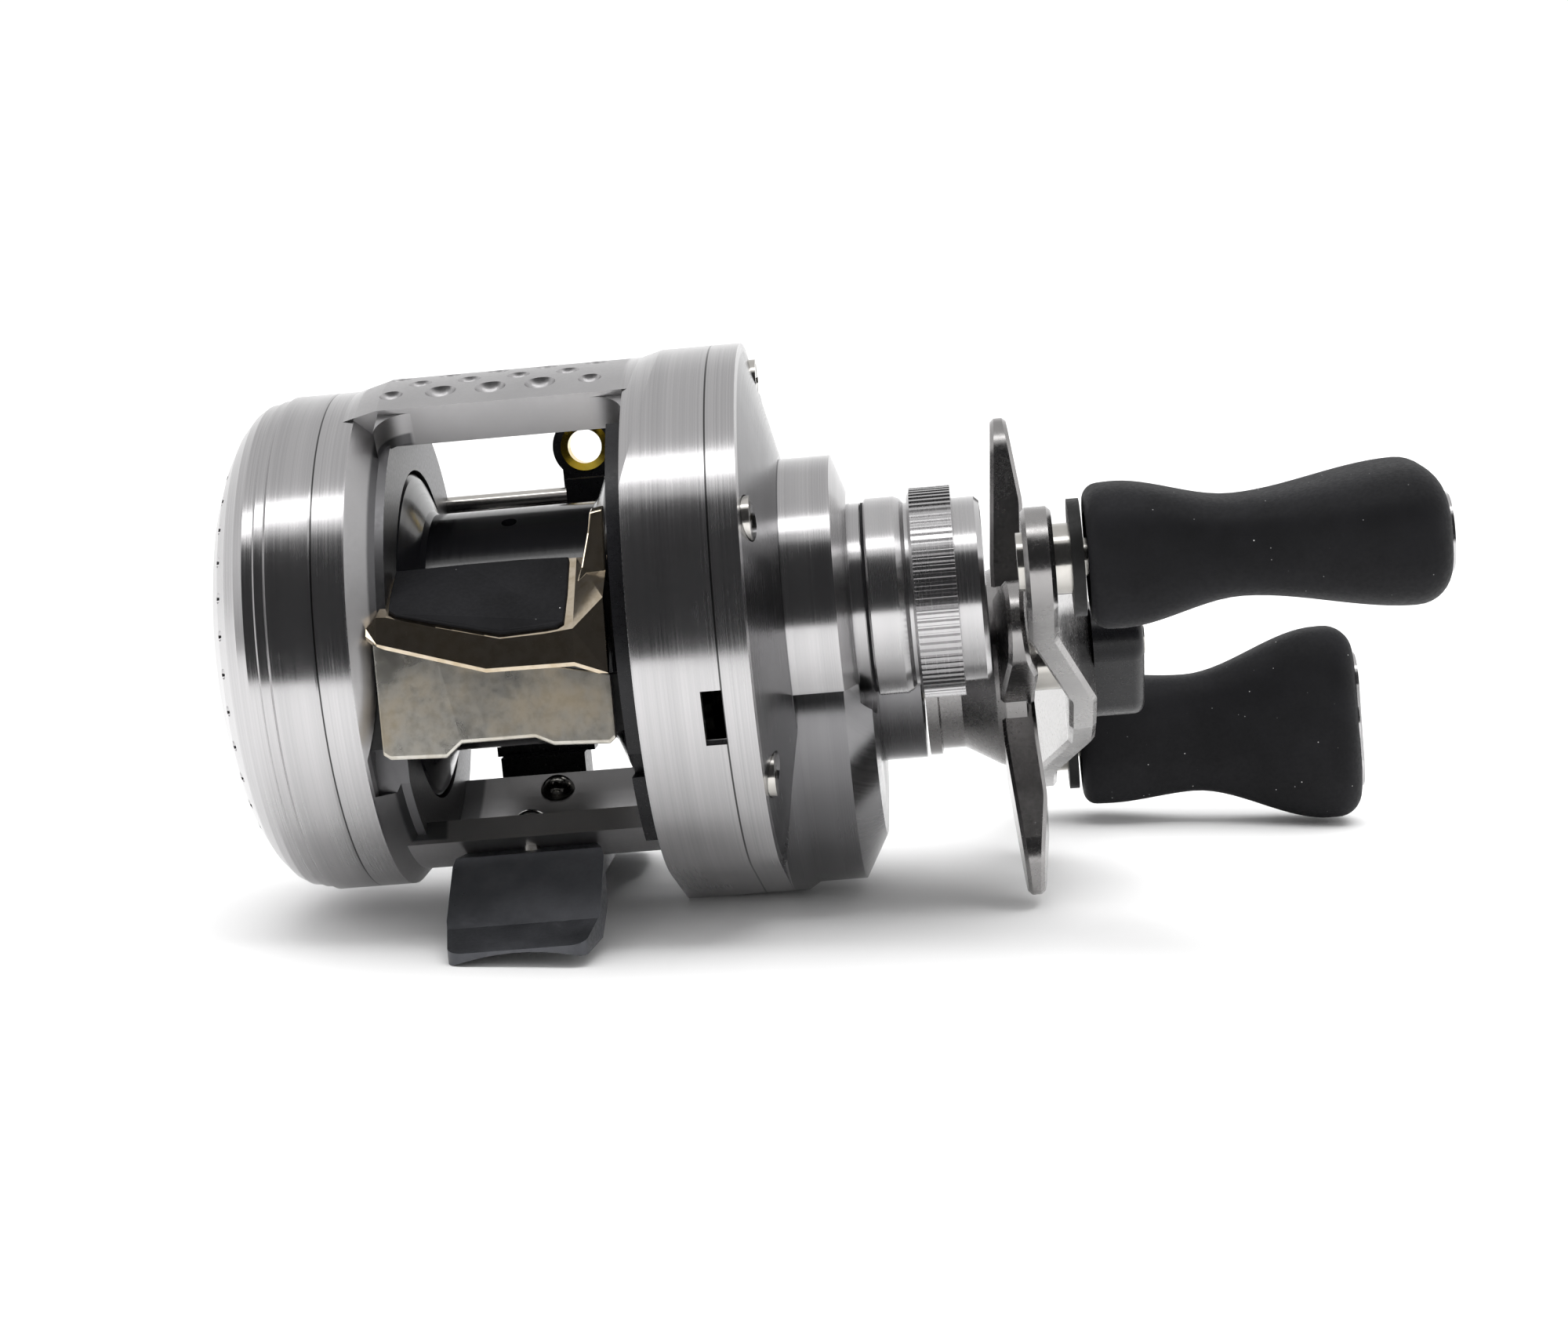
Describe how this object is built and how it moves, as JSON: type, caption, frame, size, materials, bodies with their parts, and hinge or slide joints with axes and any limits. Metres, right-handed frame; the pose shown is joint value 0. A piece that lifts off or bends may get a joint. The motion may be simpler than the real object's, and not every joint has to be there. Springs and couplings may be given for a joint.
{
  "type": "baitcasting reel",
  "caption": "Round metal baitcasting fishing reel with a right-hand crank, paddle knobs, star drag, thumb bar and level wind.",
  "frame": {"origin": "middle of the foot's underside, on the plane of its lower edges", "axes": "+X along the spool axis towards the handle, +Y towards the rod tip, +Z from the foot up through the reel"},
  "size_m": [0.1247, 0.099, 0.066],
  "materials": {
    "silver_turned": "brushed",
    "silver_machined": "satin",
    "nickel_polished": "polished",
    "nickel_satin": "satin worn",
    "black_rubber": "matte",
    "black_spool": "gloss anodised",
    "black_plate": "satin",
    "foot_grey": "satin",
    "steel": "polished",
    "brass": "machined",
    "gold_ring": "polished",
    "black_plastic": "satin",
    "dark_washer": "matte",
    "grey_crank": "polished"
  },
  "bodies": {
    "reel_body": {"frame": "silver_turned", "reel_foot": "foot_grey", "foot_rivets": "steel", "palm_cup": "silver_turned", "palm_lock_ring": "black_plastic", "brake_race": "brass", "inner_side_plate": "black_plate", "side_plate_screws": "steel", "handle_cover": "silver_turned", "cover_screws": "steel", "spool_bearings": "steel", "pinion_bearing": "steel", "drive_shaft_bearing": "steel", "roller_clutch": "steel", "plate_posts": "steel", "worm_bushes": "black_plastic", "guide_rod": "steel", "worm_guard": "black_plate"},
    "spool_group": {"spool": "black_spool", "line_pin": "black_spool", "spool_shaft": "steel", "spool_pin": "steel", "brake_frame": "black_plastic", "brake_weights": "black_plastic"},
    "yoke_group": {"clutch_yoke": "black_plastic", "yoke_springs": "steel"},
    "pinion_group": {"pinion": "brass"},
    "handle_group": {"drive_shaft": "steel", "drive_gear": "brass", "drag_washers": "dark_washer", "kick_ratchet": "steel", "train_gear": "black_plastic", "crank": "grey_crank", "crank_nut": "steel", "nut_cover": "black_plate", "keeper_screw": "steel", "knob_posts": "steel", "knob_collars": "black_plastic", "star_washers": "steel"},
    "star_group": {"star_drag": "grey_crank", "star_nut": "brass"},
    "near_knob": {"near_knob_grip": "black_rubber", "near_knob_cap": "silver_machined", "near_knob_bearings": "steel"},
    "far_knob": {"far_knob_grip": "black_rubber", "far_knob_cap": "silver_machined", "far_knob_bearings": "steel"},
    "idler_group": {"idler_gear": "black_plastic"},
    "worm_group": {"worm_shaft": "steel", "worm_gear": "black_plastic"},
    "carriage_group": {"line_carriage": "black_plate", "line_guide_ring": "gold_ring", "level_pawl": "brass"},
    "thumb_group": {"thumb_bar": "nickel_polished", "thumb_pad": "black_rubber", "thumb_bar_slider": "black_plastic", "clutch_cam": "brass"},
    "cast_group": {"cast_cap": "silver_machined", "cast_o_ring": "black_rubber", "cast_spacer": "brass"}
  },
  "joints": [
    {"name": "handle_spin", "type": "hinge", "parent": "reel_body", "child": "handle_group", "pos_m": [0.045, 0.0164, 0.0191], "axis": [1, 0, 0], "continuous": true},
    {"name": "spool_spin", "type": "hinge", "parent": "reel_body", "child": "spool_group", "pos_m": [0, -0.002, 0.03], "axis": [1, 0, 0], "continuous": true},
    {"name": "clutch_shift", "type": "slide", "parent": "reel_body", "child": "yoke_group", "axis": [1, 0, 0], "range_m": [0, 0.0016]},
    {"name": "pinion_spin", "type": "hinge", "parent": "yoke_group", "child": "pinion_group", "pos_m": [0.02, -0.002, 0.03], "axis": [1, 0, 0], "continuous": true},
    {"name": "idler_spin", "type": "hinge", "parent": "reel_body", "child": "idler_group", "pos_m": [0.019, 0.01795, 0.0268], "axis": [1, 0, 0], "continuous": true},
    {"name": "worm_spin", "type": "hinge", "parent": "reel_body", "child": "worm_group", "pos_m": [0, 0.0195, 0.0345], "axis": [1, 0, 0], "continuous": true},
    {"name": "carriage_travel", "type": "slide", "parent": "reel_body", "child": "carriage_group", "axis": [1, 0, 0], "range_m": [-0.0115, 0.0022]},
    {"name": "star_drag_turn", "type": "hinge", "parent": "handle_group", "child": "star_group", "pos_m": [0.051, 0.0164, 0.0191], "axis": [1, 0, 0], "range_deg": [-180, 180]},
    {"name": "near_knob_spin", "type": "hinge", "parent": "handle_group", "child": "near_knob", "pos_m": [0.075, -0.02356, 0.03444], "axis": [1, 0, 0], "continuous": true},
    {"name": "far_knob_spin", "type": "hinge", "parent": "handle_group", "child": "far_knob", "pos_m": [0.075, 0.05636, 0.00376], "axis": [1, 0, 0], "continuous": true},
    {"name": "thumb_press", "type": "slide", "parent": "reel_body", "child": "thumb_group", "axis": [0, 0, -1], "range_m": [0, 0.0024]},
    {"name": "cast_control_turn", "type": "hinge", "parent": "reel_body", "child": "cast_group", "pos_m": [0.043, -0.002, 0.03], "axis": [1, 0, 0], "range_deg": [-180, 180]}
  ],
  "couplings": [
    {"joint": "spool_spin", "follows": "handle_spin", "ratio": -5.2},
    {"joint": "pinion_spin", "follows": "handle_spin", "ratio": -5.2},
    {"joint": "idler_spin", "follows": "handle_spin", "ratio": -1.8182},
    {"joint": "worm_spin", "follows": "handle_spin", "ratio": 1},
    {"joint": "clutch_shift", "follows": "thumb_press", "ratio": 0.66666}
  ]
}
